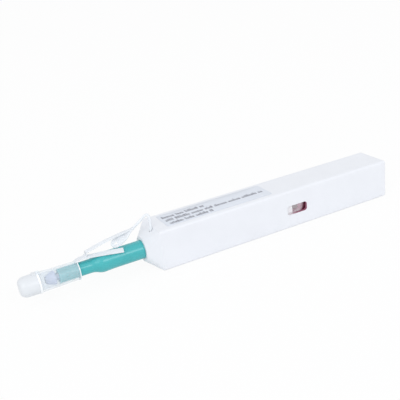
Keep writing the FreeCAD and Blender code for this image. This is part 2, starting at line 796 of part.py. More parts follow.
# --------------------------------------------------------------------------
# Reels and gears
# --------------------------------------------------------------------------
def reel(name, place):
    """A flanged spool."""
    width = "(reel_near + reel_far)"
    outline = (
        ("0", "axle_dia/2 + running_gap"),
        ("0", "reel_dia/2"),
        ("flange_wall", "reel_dia/2"),
        ("flange_wall", "hub_dia/2"),
        (width + " - flange_wall", "hub_dia/2"),
        (width + " - flange_wall", "reel_dia/2 - ratchet_depth"),
        (width, "reel_dia/2 - ratchet_depth"),
        (width, "axle_dia/2 + running_gap"),
    )
    return turned(name, outline, (place, "-reel_near", "reel_height"), FARWARD_TURN)


def toothed_disc(name, count, points_of_tooth, thick, near):
    """A disc about the take-up axle whose rim repeats one tooth of (angle, radius)s."""
    step = 2 * math.pi / count
    centre = Vector(size("takeup_x"), near, size("reel_height"))
    corners = []
    for k in range(count):
        for angle, radius in points_of_tooth:
            turn = k * step + angle
            corners.append(centre + Vector(math.sin(turn), 0, math.cos(turn)) * radius)
    face = Part.Face(Part.makePolygon(corners + corners[:1]))
    return solid_feature(name, face.extrude(Vector(0, thick, 0)))


def takeup_reel():
    """Winds up used tape; the far flange's rim is a ratchet wheel."""
    spool = reel("TakeupSpool", "takeup_x")
    outer = size("reel_dia") / 2
    inner = outer - size("ratchet_depth")
    step = 2 * math.pi / size("ratchet_teeth")
    saw = ((0.0, inner), (0.9 * step, outer))
    ratchet = toothed_disc("RatchetRim", int(size("ratchet_teeth")), saw,
                           size("flange_wall"), size("reel_far") - size("flange_wall"))
    bore = rod("TakeupBore", "axle_dia/2 + running_gap", "reel_near + reel_far + 2",
               ("takeup_x", "-reel_near - 1", "reel_height"), Y_FAR)
    return cut("takeup_reel", joined("TakeupBlank", spool, ratchet), bore)


def supply_reel():
    """Holds the clean tape."""
    return reel("supply_reel", "supply_x")


def tape_roll(name, place, diameter):
    """Tape wound on a hub, between the flanges."""
    outline = (
        ("0", "hub_dia/2"), ("0", diameter + "/2"),
        ("reel_near + reel_far - 2*flange_wall", diameter + "/2"),
        ("reel_near + reel_far - 2*flange_wall", "hub_dia/2"),
    )
    return turned(name, outline, (place, "-reel_near + flange_wall", "reel_height"),
                  FARWARD_TURN)


def drive_pinion():
    """Involute pinion on the take-up axle, in mesh with the feed rack."""
    module = size("gear_module")
    count = int(size("pinion_teeth"))
    pitch_radius = module * count / 2
    base = pitch_radius * math.cos(math.radians(PRESSURE_ANGLE))
    tip = pitch_radius + 0.95 * module
    root = pitch_radius - 1.2 * module

    def involute(radius):
        spread = math.acos(min(base / radius, 1.0))
        return math.tan(spread) - spread

    half = math.pi / (2 * count) - BACKLASH / pitch_radius + involute(pitch_radius)
    radii = [base + (tip - base) * k / 3 for k in range(4)]
    flank = [(half - involute(radius), radius) for radius in radii]
    tooth = [(-half, root)] + [(-angle, radius) for angle, radius in flank]
    tooth += [(angle, radius) for angle, radius in reversed(flank)] + [(half, root)]
    offset = math.pi / count * (count % 2)
    tooth = [(angle + offset + math.pi / count, radius) for angle, radius in tooth]
    gear = toothed_disc("PinionTeeth", count, tooth, size("gear_width"),
                        size("gear_near"))
    bore = rod("PinionBore", "axle_dia/2 + running_gap", "gear_width + 2",
               ("takeup_x", "reel_far", "reel_height"), Y_FAR)
    return cut("drive_pinion", gear, bore)


# --------------------------------------------------------------------------
# Guide cap, lid and strap
# --------------------------------------------------------------------------
def guide_cap():
    """Tube over the spout with a guide for a 2.5 mm ferrule in its front wall."""
    full = "(cap_length + guide_length)"
    outline = (
        ("0", "spout_dia/2 + 0.03"),
        ("cap_collar", "spout_dia/2 + 0.03"),
        ("cap_collar + 0.4", "spout_dia/2 + 0.25"),
        ("cap_length - cap_front_wall", "spout_dia/2 + 0.25"),
        ("cap_length - cap_front_wall", "ferrule_bore/2"),
        (full, "ferrule_bore/2"),
        (full, "guide_dia/2"),
        ("cap_length + lip_height", "guide_dia/2"),
        ("cap_length + lip_height", "lid_dia/2 - lid_wall - lip_gap"),
        ("cap_length", "lid_dia/2 - lid_wall - lip_gap"),
        ("cap_length", "cap_front_dia/2"),
        ("0.8", "cap_rear_dia/2 - 0.05"),
        ("0.8", CAP_RIM_RADIUS),
        ("0", CAP_RIM_RADIUS),
    )
    tube = turned("CapTube", outline, (CAP_REAR, "0", "axis_height"), FORWARD_TURN)
    ear = box("CapHingeEar", (CAP_FRONT, "-hinge_width/2", "axis_height"),
              ("hinge_reach", "hinge_width", HINGE_HEIGHT + " - axis_height"))
    hollow = rod("CapEarTrim", "cap_front_dia/2 - 0.4", "hinge_reach + 1",
                 (CAP_FRONT, "0", "axis_height"))
    return joined("guide_cap", tube, cut("CapEar", ear, hollow))


def cap_lid():
    """Cup that closes the cap's front and swings up on a thin hinge."""
    outline = (
        ("0", "lid_dia/2 - lid_wall"), ("0", "lid_dia/2"),
        ("lid_length - lid_round", "lid_dia/2"),
        ("lid_length - 0.3*lid_round", "lid_dia/2 - 0.3*lid_round"),
        ("lid_length", "lid_dia/2 - lid_round"), ("lid_length", "0"),
        ("lid_length - lid_wall", "0"),
        ("lid_length - lid_wall", "lid_dia/2 - lid_wall"),
    )
    cup = turned("LidCup", outline, (CAP_FRONT, "0", "axis_height"), FORWARD_TURN)
    ear = box("LidHingeEar", (CAP_FRONT + " - hinge_reach", "-hinge_width/2",
                              "axis_height"),
              ("hinge_reach", "hinge_width", HINGE_HEIGHT + " - axis_height"))
    hollow = rod("LidEarTrim", "lid_dia/2 - 0.4", "hinge_reach + 1",
                 (CAP_FRONT + " - hinge_reach - 0.5", "0", "axis_height"))
    return joined("cap_lid", cup, cut("LidEar", ear, hollow))


def leaning_band():
    """The strap's lower layer, from the cap's rim along the nozzle's near shoulder."""
    thick = size("strap_thick")
    start = size(CAP_REAR + " + 1")
    end = size(f"{NOSE_TIP} - stroke - slide_gap")
    inner = size("nozzle_dia/2") + 0.05
    stations = []
    for k in range(6):
        share = k / 5
        lean = math.radians(size("band_lean")) * share
        outward = Vector(0, -math.sin(lean), math.cos(lean))
        across = Vector(0, math.cos(lean), math.sin(lean))
        middle = Vector(start + (end - start) * share, 0, size("axis_height"))
        half = across * size("strap_width + (band_width - strap_width)*" + str(share)) / 2
        low, high = middle + outward * inner, middle + outward * (inner + thick)
        corners = [low - half, low + half, high + half, high - half]
        stations.append(Part.makePolygon(corners + corners[:1]))
    return solid_feature("StrapLower", Part.makeLoft(stations, True, True))


def cap_strap():
    """Folded strap from the cap's rim, with a paddle and a knot at its far end."""
    rim = size(CAP_REAR)
    rim_top = size(f"axis_height + {CAP_RIM_RADIUS}")
    thick = size("strap_thick")
    lie = size(NOZZLE_TOP) + thick / 2 + 0.05
    fold = Vector(rim + size("strap_fold_back"), 0, rim_top + size("strap_fold_rise"))
    knot = Vector(size(KNOT_X), 0, size(KNOT_HEIGHT))
    end = Vector(size(PADDLE_X), 0, size(PADDLE_HEIGHT))

    root = [Vector(rim - 0.8, 0, rim_top - 0.1), Vector(rim + 1.2, 0, lie - 0.1),
            Vector(rim + 3, 0, lie + 0.05), Vector(fold.x + 0.3, 0, lie + 0.6), fold]
    upper = [fold, fold + (knot - fold) * 0.35 + Vector(0, 0, 0.5),
             fold + (knot - fold) * 0.7 + Vector(0, 0, 0.4), knot]
    bands = [ribbon(name, route, thick, size("strap_width"))
             for name, route in (("StrapRoot", root), ("StrapUpper", upper))]
    paddle = ribbon("StrapPaddle", [knot, knot + (end - knot) * 0.4, end], thick,
                    size("paddle_width"))
    bead = doc.addObject("Part::Sphere", "StrapKnot")
    bind(bead, Radius="knot_dia/2", Base_x=KNOT_X, Base_z=KNOT_HEIGHT)
    hole = rod("PaddleHole", "paddle_hole/2", "4*strap_thick",
               (PADDLE_X + " + 1.6", "0", PADDLE_HEIGHT + " - strap_thick"), Rotation())
    blank = joined("StrapBlank", *bands, leaning_band(), paddle, bead)
    room = rod("StrapRoom", CAP_RIM_RADIUS, "4", (CAP_REAR + " - 2", "0", "axis_height"))
    return cut("cap_strap", blank, hole, room)


def strap_tie():
    """Thin tie that arches from the strap's knot over to the eyelet in the nose."""
    knot = Vector(size(KNOT_X), 0, size(KNOT_HEIGHT))
    mouth = Vector(size(FRONT + " - eyelet_setback"), -size("eyelet_side"),
                   size("body_height"))
    arch = size("tie_arch")
    curve = Part.BSplineCurve()
    curve.interpolate([
        knot + Vector(0.68, -0.05, 0.5), (knot + mouth) / 2 + Vector(0, 0.6, 0.5 * arch),
        mouth + Vector(-0.7, 1.3, arch), mouth + Vector(0.2, 0.3, 0.75 * arch),
        mouth + Vector(0.1, 0, 0.3 * arch), mouth + Vector(0, 0, -1),
        mouth + Vector(0, 0, -size("eyelet_depth")),
    ])
    return solid_feature("strap_tie", swept(curve.discretize(16), size("tie_dia"), 8))


# --------------------------------------------------------------------------
# Build, test and write
# --------------------------------------------------------------------------
subparts = [
    *housing_shells(), top_label(), feed_rack(), turn_pin(), return_spring(),
    nozzle(), carriage_frame(), *reel_axles(), tape_guide_pin(), ratchet_pawl(),
    cleaning_tape(),
    tip_shaft(), tip_spring(), cleaning_tip(),
    takeup_reel(), supply_reel(),
    tape_roll("takeup_tape_roll", "takeup_x", "takeup_roll_dia"),
    tape_roll("supply_tape_roll", "supply_x", "supply_roll_dia"),
    drive_pinion(), guide_cap(), cap_lid(), cap_strap(), strap_tie(),
]
doc.recompute()

for thing in doc.Objects:
    if "Invalid" in thing.State or "Error" in thing.State:
        raise RuntimeError(f"{thing.Label} failed: {thing.State}")

os.makedirs("parts", exist_ok=True)
for subpart in subparts:
    subpart.Label = subpart.Name
    shape = subpart.Shape
    if shape.isNull() or not shape.isValid():
        raise RuntimeError(f"{subpart.Label} has no valid shape")
    shape.exportStep(os.path.join("parts", subpart.Label + ".step"))
    print(f"{subpart.Label:20s} {shape.Volume:9.2f} mm3  {len(shape.Solids)} solid(s)")
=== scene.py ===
"""Looks for a push-to-click fibre connector cleaning pen, laid out as an add-on.

Every surface is in the pen's own frame: X along the pen with the nozzle towards -X,
Z up, and the origin under the middle of the housing.  Helper functions work in
millimetres, and the meshes are written in metres.
"""
import json
import math

import bmesh
import bpy
import numpy as np
from bpy.props import FloatProperty, FloatVectorProperty, PointerProperty
from mathutils import Matrix, Vector

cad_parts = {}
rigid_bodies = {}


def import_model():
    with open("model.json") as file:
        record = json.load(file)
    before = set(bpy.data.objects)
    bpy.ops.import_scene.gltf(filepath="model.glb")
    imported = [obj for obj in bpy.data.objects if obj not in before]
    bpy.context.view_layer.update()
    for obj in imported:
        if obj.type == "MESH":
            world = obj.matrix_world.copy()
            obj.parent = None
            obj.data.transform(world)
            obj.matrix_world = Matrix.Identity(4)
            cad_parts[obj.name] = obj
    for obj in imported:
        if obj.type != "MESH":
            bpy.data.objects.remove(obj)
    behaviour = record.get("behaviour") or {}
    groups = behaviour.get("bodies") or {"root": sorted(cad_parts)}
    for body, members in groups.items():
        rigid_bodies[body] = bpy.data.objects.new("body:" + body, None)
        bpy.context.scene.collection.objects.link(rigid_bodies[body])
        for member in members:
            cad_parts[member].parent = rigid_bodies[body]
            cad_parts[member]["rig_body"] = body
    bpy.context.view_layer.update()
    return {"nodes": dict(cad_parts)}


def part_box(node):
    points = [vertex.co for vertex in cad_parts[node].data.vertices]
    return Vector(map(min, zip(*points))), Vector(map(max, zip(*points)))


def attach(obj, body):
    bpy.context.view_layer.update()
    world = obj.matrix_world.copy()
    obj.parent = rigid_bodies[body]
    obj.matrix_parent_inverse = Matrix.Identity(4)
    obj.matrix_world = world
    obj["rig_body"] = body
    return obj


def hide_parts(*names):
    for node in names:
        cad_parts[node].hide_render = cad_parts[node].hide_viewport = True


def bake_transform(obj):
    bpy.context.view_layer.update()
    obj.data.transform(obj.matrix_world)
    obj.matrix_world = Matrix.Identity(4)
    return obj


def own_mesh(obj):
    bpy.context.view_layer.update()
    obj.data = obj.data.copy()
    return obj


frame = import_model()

bl_info = {
    "name": "Cleaning Pen Looks",
    "version": (1, 0, 0),
    "blender": (4, 5, 0),
    "location": "View3D > Sidebar > Cleaning Pen",
    "description": "Dresses the fibre connector cleaning pen with its finishes",
    "category": "Object",
}

MM = 0.001


# --------------------------------------------------------------------------
# Places and sizes, in millimetres
# --------------------------------------------------------------------------
def span(node):
    """Lowest and highest corner of a CAD node, in millimetres."""
    low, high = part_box(node)
    return np.array(low) / MM, np.array(high) / MM


NOZZLE_LOW, NOZZLE_HIGH = span("nozzle")
CAP_LOW, CAP_HIGH = span("guide_cap")
LID_LOW, LID_HIGH = span("cap_lid")
LABEL_LOW, LABEL_HIGH = span("top_label")
HOUSING_LOW, HOUSING_HIGH = span("housing_near_shell")
TAKEUP_LOW, TAKEUP_HIGH = span("takeup_reel")
SUPPLY_LOW, SUPPLY_HIGH = span("supply_reel")
TIP_FACE = float(span("cleaning_tip")[0][0])
AXIS = 8.6
CAP_REAR, CAP_FRONT = float(CAP_HIGH[0]), float(LID_HIGH[0])
NOSE_TIP = float(HOUSING_LOW[0])

# The nozzle's outside and bores, from its flange to its spout.  The strap lies at the
# height of the solid's barrel, which is a little thicker than the dressed one.
FLANGE_RADIUS, FLANGE_LENGTH = 6.0, 3.0
BARREL_RADIUS, SWELLING_RADIUS, SPOUT_RADIUS = 3.97, 4.2, 2.9
BARREL_BORE, SPOUT_BORE = 2.75, 2.0
SWELLING_LENGTH, SHOULDER_LENGTH, SPOUT_LENGTH = 5.5, 3.0, 14.6
NOZZLE_TOP = AXIS + 4.35

# The bush in the nose's hole, set a hair behind the nose's face
BUSH_BORE, BUSH_RADIUS, BUSH_LENGTH, BUSH_SETBACK = 4.05, 4.62, 1.5, 0.02

# The guide cap: its grip on the spout, its chamber, front wall, guide and lip
GRIP_BORE, GRIP_LENGTH, GRIP_TAPER = 3.13, 5.0, 0.4
CHAMBER_BORE, FRONT_WALL = 3.35, 1.3
FERRULE_BORE, GUIDE_RADIUS = 1.29, 2.1
LIP_RADIUS, LIP_LENGTH = 3.3, 0.8
CAP_FRONT_RADIUS, CAP_REAR_RADIUS = 4.25, 3.85
REAR_RIM_RADIUS, REAR_RIM_LENGTH = 4.1, 0.8
# Two opaque bright rings at the cap's thicker clear rims; their brightness is a painted
# highlight
FRONT_RING_START, FRONT_RING_END, FRONT_RING_RADII = -0.85, -0.05, (4.2, 4.45)
REAR_RING_START, REAR_RING_END, REAR_RING_RADII = -0.02, 0.28, (3.15, 4.12)
EAR_SETBACK, EAR_HEIGHT, EAR_HALF = 0.7, AXIS + 4.25, (1.0, 1.4, 0.45)

# The lid: the corners of its hollow and of its rounded end lie some way from the end
LID_WALL, LID_BORE, LID_RADIUS = 0.95, 3.4, 4.3
LID_FLOOR_RADIUS, LID_BORE_GAP = 2.6, 2.2
LID_SHOULDER_RADIUS, LID_SHOULDER_GAP = 4.2, 1.9
LID_CROWN_RADIUS, LID_CROWN_GAP = 3.1, 0.1

# The strap: the lower band leans round the barrel, and the paddle tilts and twists
RIM_TOP = AXIS + REAR_RIM_RADIUS
LIE_GAP = 0.05
PADDLE_LENGTH, PADDLE_RISE = 9.4, 1.2
PADDLE_TILT, PADDLE_TWIST, BAND_LEAN = (math.radians(turn) for turn in (21, 38, 38))
BAND_START, BAND_END = CAP_REAR + 1.0, NOSE_TIP - 8.8
KNOT_HALF = (0.75, 0.75, 0.62)

# The cone round the cleaning tip's head.  It starts clear of the spout by more than the
# tip gives way, and ends short of the tip's face.
CONE_BORE, CONE_REAR_RADIUS, CONE_FRONT_RADIUS = 1.6, 2.8, 1.75
CONE_BAND, CONE_START_GAP, CONE_END_GAP = 0.8, 1.2, 0.35

# Painted shade and a painted reflection of the reel's red on the window's walls: the red
# grows out of a grey shade between two places along the pen, and ends between two
# distances from the window's centre and two depths behind the outer face.
SHADE_TO_RED_START, SHADE_TO_RED_END = 3.5, 8.0
WINDOW_CENTRE = (7.75, 0.0, 8.65)
SLOT_SHADE_INSIDE, SLOT_SHADE_OUTSIDE = 6.4, 7.2
SLOT_SHADE_SHALLOW, SLOT_SHADE_DEEP = 0.06, 0.2

# Each row of print: its share of the label's width, where its bars begin and end.  Bar
# widths and the number of bars in a word are drawn between two limits.
PRINT_ROWS = ((0.27, 1.0, 22.0), (0.55, 1.2, 49.6), (0.83, 1.7, 22.6))
PRINT_SEED, BARS_DRAWN, WORDS_DRAWN = 7, 80, 10
BAR_WIDTHS, WORD_BARS, BAR_HEIGHTS = (0.4, 1.0), (4, 9), (0.62, 0.7, 1.0)
BAR_GAP, WORD_GAP, PRINT_MARGIN = 0.2, 1.0, 0.6
PRINT_SUNK, PRINT_RAISED = 0.02, 0.012


# --------------------------------------------------------------------------
# Settings
# --------------------------------------------------------------------------
def length_property(name, description, default):
    return FloatProperty(name=name, description=description, default=default,
                         min=0.0, unit="LENGTH", subtype="DISTANCE")


def colour_property(name, description, default):
    return FloatVectorProperty(name=name, description=description, default=default,
                               size=3, min=0.0, max=1.0, subtype="COLOR")


class PenSizes(bpy.types.PropertyGroup):
    """Sizes of the dressed pieces."""
    moulded_edge: length_property("Moulded edge", "Softening of the nozzle's edges", 0.00035)
    shoulder_ease: length_property(
        "Shoulder ease", "How far the nozzle's shoulder blends into barrel and spout", 0.0016)
    strap_width: length_property("Strap width", "Width of the folded strap", 0.0024)
    strap_thickness: length_property("Strap thickness", "Thickness of the strap", 0.0006)
    paddle_width: length_property("Paddle width", "Width of the strap's paddle", 0.0046)
    tie_width: length_property("Tie width", "Width of the thin tie to the eyelet", 0.0012)
    tie_thickness: length_property("Tie thickness", "Thickness of the thin tie", 0.0010)
    label_corner: length_property("Label corner", "Corner radius of the label", 0.0008)
    print_height: length_property("Print height", "Height of the printed bars", 0.0023)


class PenColours(bpy.types.PropertyGroup):
    """Base colours of the finishes, in linear light."""
    housing: colour_property("Housing", "Moulded housing", (0.825, 0.84, 0.885))
    label: colour_property("Label", "Label film", (0.725, 0.76, 0.83))
    ink: colour_property("Ink", "Printed bars on the label", (0.27, 0.275, 0.32))
    nozzle: colour_property("Nozzle", "Nozzle and spout", (0.058, 0.44, 0.465))
    cap: colour_property("Guide cap", "Clear guide cap", (0.83, 0.92, 1.0))
    rim: colour_property("Cap rim highlight", "Painted highlight rings at the guide cap's ends", (0.95, 0.97, 1.0))
    # The cap's end rings: their brightness is a painted highlight
    lid: colour_property("Lid", "Milky lid", (0.76, 0.785, 0.82))
    strap: colour_property("Strap", "Soft translucent strap", (0.89, 0.92, 0.96))
    inner: colour_property("Inner mouldings", "Carriage, rack and pawl", (0.91, 0.915, 0.94))
    shaft: colour_property("Shaft", "Turning shaft and cleaning tip", (0.60, 0.62, 0.78))
    reel: colour_property("Reels", "Reels and pinion", (0.22, 0.035, 0.075))
    tape: colour_property("Tape", "Woven cleaning tape", (0.82, 0.81, 0.80))
    steel: colour_property("Steel", "Springs and pins", (0.62, 0.62, 0.63))
    axle: colour_property("Axles", "Darker steel axles of the reels", (0.42, 0.38, 0.40))
    floor: colour_property("Floor", "Table under the pen", (0.90, 0.90, 0.90))


# --------------------------------------------------------------------------
# Surfaces
# --------------------------------------------------------------------------
LARGEST_EASE = 0.45     # of the shorter side beside a corner
END_ROUND = 0.85        # of a carried section's full size, just inside its closed ends
MERGE_DISTANCE, SHORTEST_EDGE = 1e-8, 1e-9      # metres
SHARP_ANGLE = math.radians(38)


def grid_faces(rows, columns, wrap_rows, wrap_columns):
    """Quads between neighbouring rows and columns of a grid of points."""
    r, c = np.meshgrid(np.arange(rows if wrap_rows else rows - 1),
                       np.arange(columns if wrap_columns else columns - 1), indexing="ij")
    above, beside = (r + 1) % rows, (c + 1) % columns
    quads = np.stack([r * columns + c, r * columns + beside,
                      above * columns + beside, above * columns + c], axis=-1)
    return quads.reshape(-1, 4)


def shell(points, wrap_rows=False, wrap_columns=True):
    """A grid of points (rows, columns, 3) as vertices and quads."""
    rows, columns = points.shape[:2]
    return points.reshape(-1, 3), grid_faces(rows, columns, wrap_rows, wrap_columns)


def eased(corners, ease, steps=5):
    """An outline whose corners are each replaced by a parabola.  It leaves one side
    `ease` before the corner, has the corner as its control point, and joins the next
    side `ease` after it; an ease of 0 keeps the corner sharp."""
    corners = np.asarray(corners, float)
    back = np.roll(corners, 1, axis=0) - corners
    ahead = np.roll(corners, -1, axis=0) - corners
    back_length = np.maximum(np.linalg.norm(back, axis=1), 1e-9)
    ahead_length = np.maximum(np.linalg.norm(ahead, axis=1), 1e-9)
    reach = np.minimum(np.broadcast_to(ease, len(corners)),
                       LARGEST_EASE * np.minimum(back_length, ahead_length))
    start = corners + back * (reach / back_length)[:, None]
    end = corners + ahead * (reach / ahead_length)[:, None]
    s = np.linspace(0, 1, steps + 1)[None, :, None]
    curve = ((1 - s) ** 2 * start[:, None] + 2 * s * (1 - s) * corners[:, None]
             + s ** 2 * end[:, None])
    return curve.reshape(-1, 2)


def ring_outline(begin, end, inner, outer, ease):
    """The eased section of a plain ring between two distances and two radii."""
    return eased([(begin, inner), (end, inner), (end, outer), (begin, outer)], ease)


def revolved(outline, start, turns=96, closed=True):
    """An outline of (distance towards -X from start, radius) turned about the pen's
    axis: x = start - distance, y = radius cos(a), z = axis + radius sin(a)."""
    along, radius = np.asarray(outline, float).T
    angle = np.linspace(0, 2 * np.pi, turns, endpoint=False)
    points = np.stack(np.broadcast_arrays(
        start - along[:, None], radius[:, None] * np.cos(angle),
        AXIS + radius[:, None] * np.sin(angle)), axis=-1)
    return shell(points, wrap_rows=closed)


def smooth_path(points, steps=8):
    """A curve through the points: between two of them it is the cubic that leaves each
    one parallel to the line between its neighbours (Catmull-Rom)."""
    p = np.asarray(points, float)
    p = np.vstack([2 * p[0] - p[1], p, 2 * p[-1] - p[-2]])
    a, b, c, d = (p[k:len(p) - 3 + k, None] for k in range(4))
    s = np.linspace(0, 1, steps, endpoint=False)[None, :, None]
    curve = 0.5 * (2 * b + (c - a) * s + (2 * a - 5 * b + 4 * c - d) * s ** 2
                   + (3 * b - a - 3 * c + d) * s ** 3)
    return np.vstack([curve.reshape(-1, 3), p[-2]])


def carried(path, half_across, half_thick, across, power=2.0, sides=20):
    """A section carried along a path.  The section is the superellipse
    (sign(cos a) |cos a|^(2/power), sign(sin a) |sin a|^(2/power)), scaled by the two
    half sizes; its first direction is `across` made square to the path, and both ends
    close on the path with a small round."""
    path = np.asarray(path, float)
    tangent = np.gradient(path, axis=0)
    tangent /= np.linalg.norm(tangent, axis=1)[:, None]
    across = np.broadcast_to(np.asarray(across, float), path.shape)
    first = across - (tangent * across).sum(1)[:, None] * tangent
    first /= np.linalg.norm(first, axis=1)[:, None]
    second = np.cross(tangent, first)
    wide = np.broadcast_to(half_across, len(path))
    scale = np.concatenate([[0.0, END_ROUND], np.ones(len(path)), [END_ROUND, 0.0]])
    path, first, second, wide = (
        np.concatenate([v[:1], v[:1], v, v[-1:], v[-1:]]) for v in (path, first, second, wide))
    angle = np.linspace(0, 2 * np.pi, sides, endpoint=False)
    u = np.sign(np.cos(angle)) * np.abs(np.cos(angle)) ** (2 / power)
    v = np.sign(np.sin(angle)) * np.abs(np.sin(angle)) ** (2 / power)
    points = (path[:, None] + (scale * wide)[:, None, None] * u[:, None] * first[:, None]
              + (scale * half_thick)[:, None, None] * v[:, None] * second[:, None])
    return shell(points)


def pillow(centre, half, power=4.0, rows=24, columns=48):
    """A superellipsoid: x and y follow cos(b) times (cos a, sin a), z follows sin(b),
    each raised to 2/power with its sign kept and scaled by the half sizes."""
    a = np.linspace(-np.pi, np.pi, columns, endpoint=False)[None, :]
    b = np.linspace(-np.pi / 2, np.pi / 2, rows)[:, None]

    def shaped(value):
        return np.sign(value) * np.abs(value) ** (2 / power)

    level = shaped(np.cos(b))
    points = np.stack(np.broadcast_arrays(
        level * shaped(np.cos(a)), level * shaped(np.sin(a)), shaped(np.sin(b))), axis=-1)
    return shell(np.asarray(centre) + np.asarray(half) * points)


def piece(name, shells, material, body=None):
    """One object from closed shells in millimetres: poles and seams are merged and the
    faces turned outwards."""
    counts = np.cumsum([0] + [len(points) for points, _ in shells])
    vertices = np.vstack([points for points, _ in shells]) * MM
    faces = np.vstack([quads + first for (_, quads), first in zip(shells, counts)])
    mesh = bpy.data.meshes.new(name)
    mesh.from_pydata(vertices.tolist(), [], faces.tolist())
    work = bmesh.new()
    work.from_mesh(mesh)
    bmesh.ops.remove_doubles(work, verts=work.verts, dist=MERGE_DISTANCE)
    bmesh.ops.dissolve_degenerate(work, edges=work.edges, dist=SHORTEST_EDGE)
    bmesh.ops.recalc_face_normals(work, faces=work.faces)
    work.to_mesh(mesh)
    work.free()
    mesh.set_sharp_from_angle(angle=SHARP_ANGLE)
    mesh.materials.append(material)
    thing = bpy.data.objects.new(name, mesh)
    bpy.context.scene.collection.objects.link(thing)
    if body:
        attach(thing, body)
    return thing


# --------------------------------------------------------------------------
# Finishes
# --------------------------------------------------------------------------
WHITE = (1.0, 1.0, 1.0, 1.0)
# Painted grey shade and painted red reflection of the reel on the window's walls
SLOT_WALL_SHADE, SLOT_WALL_RED_REFLECTION = (0.82, 0.80, 0.83, 1.0), (0.42, 0.15, 0.23, 1.0)
# Where the painted show-through of the tape behind a reel's flange ends, and its two tones
ROLL_EDGE_INSIDE, ROLL_EDGE_OUTSIDE = 4.3, 5.2      # millimetres from a reel's axis
ROLL_DARK, ROLL_PALE = (0.66, 0.49, 0.56, 1.0), (0.95, 0.87, 0.92, 1.0)
NOISE_LOW, NOISE_HIGH = 0.3, 0.7     # between which nearly all of a noise lies
# Grains or waves per metre
DRIFT_SCALE, SKIN_SCALE, STREAK_SCALE, INK_SCALE = 90, 2600, 1800, 2200
WEAVE_SCALE, TURNS_SCALE, ROLL_STREAK_SCALE = 900.0, 1500.0, 420


def add_node(tree, kind, inputs=(), **settings):
    """A new node; each of its inputs follows a socket or holds a value."""
    node = tree.nodes.new(kind)
    for key, value in settings.items():
        setattr(node, key, value)
    for key, value in dict(inputs).items():
        if isinstance(value, bpy.types.NodeSocket):
            tree.links.new(value, node.inputs[key])
        else:
            node.inputs[key].default_value = value
    return node


class Finish:
    """A node material under construction, with its shader and object coordinates."""

    def __init__(self, name, **sockets):
        self.material = bpy.data.materials.new(name)
        self.material.use_nodes = True
        self.tree = self.material.node_tree
        self.shader = self.tree.nodes["Principled BSDF"]
        self.place = self.add("ShaderNodeTexCoord").outputs["Object"]
        for socket, value in sockets.items():
            self.shader.inputs[socket.replace("_", " ")].default_value = value

    def add(self, kind, inputs=(), **settings):
        return add_node(self.tree, kind, inputs, **settings)

    def noise(self, scale, detail=3.0, stretch=(1, 1, 1)):
        """Noise of a given number of grains per metre."""
        mapped = self.add("ShaderNodeMapping", {"Vector": self.place, "Scale": stretch})
        return self.add("ShaderNodeTexNoise", {
            "Vector": mapped.outputs["Vector"], "Scale": scale, "Detail": detail,
            "Roughness": 0.55}).outputs["Fac"]

    def maths(self, operation, *values):
        return self.add("ShaderNodeMath", enumerate(values),
                        operation=operation).outputs["Value"]

    def distance(self, centre):
        """Distance in the XZ plane from a centre given in millimetres."""
        centred = self.add("ShaderNodeMapping", {
            "Vector": self.place, "Location": [-c * MM for c in centre], "Scale": (1, 0, 1)})
        return self.add("ShaderNodeVectorMath", {0: centred.outputs["Vector"]},
                        operation="LENGTH").outputs["Value"]

    def ramp(self, value, low, high, to_low=0.0, to_high=1.0):
        """The value carried from low..high to to_low..to_high, held at both ends."""
        return self.add("ShaderNodeMapRange", {
            "Value": value, "From Min": low, "From Max": high,
            "To Min": to_low, "To Max": to_high}).outputs["Result"]

    def mix(self, factor, first, second):
        """A colour between two colours."""
        node = self.add("ShaderNodeMix", data_type="RGBA")
        for key, value in (("Factor", factor), ("A", first), ("B", second)):
            socket = [s for s in node.inputs if s.name == key and s.enabled][0]
            if isinstance(value, bpy.types.NodeSocket):
                self.tree.links.new(value, socket)
            else:
                socket.default_value = value
        return [s for s in node.outputs if s.enabled][0]

    def link(self, value, socket):
        self.tree.links.new(value, self.shader.inputs[socket])

    def bump(self, height, distance, strength=0.5):
        node = self.add("ShaderNodeBump", {
            "Height": height, "Distance": distance, "Strength": strength})
        self.link(node.outputs["Normal"], "Normal")


def shade(colour, factor=1.0):
    """A base colour made darker or lighter, as RGBA."""
    return (*(min(c * factor, 1.0) for c in colour), 1.0)


def moulded(name, colour, roughness, variation=0.02, grain=0.00002, **sockets):
    """Moulded plastic: a broad drift of tone, a fine skin in roughness and relief."""
    finish = Finish(name, Roughness=roughness, **sockets)
    drift = finish.ramp(finish.noise(DRIFT_SCALE, 2.0), NOISE_LOW, NOISE_HIGH)
    finish.link(finish.mix(drift, shade(colour, 1 - variation), shade(colour, 1 + variation)),
                "Base Color")
    skin = finish.noise(SKIN_SCALE, 2.0)
    finish.link(finish.ramp(skin, NOISE_LOW, NOISE_HIGH, roughness - 0.04, roughness + 0.05),
                "Roughness")
    finish.bump(skin, grain, 0.35)
    return finish


def turned_steel(name, colour):
    """Drawn steel: fine streaks along the pen's length."""
    finish = Finish(name, Metallic=1.0, Roughness=0.28)
    streaks = finish.noise(STREAK_SCALE, 2.0, (0.08, 1, 1))
    finish.link(finish.mix(streaks, shade(colour, 0.85), shade(colour, 1.08)), "Base Color")
    finish.link(finish.ramp(streaks, NOISE_LOW, NOISE_HIGH, 0.2, 0.36), "Roughness")
    return finish


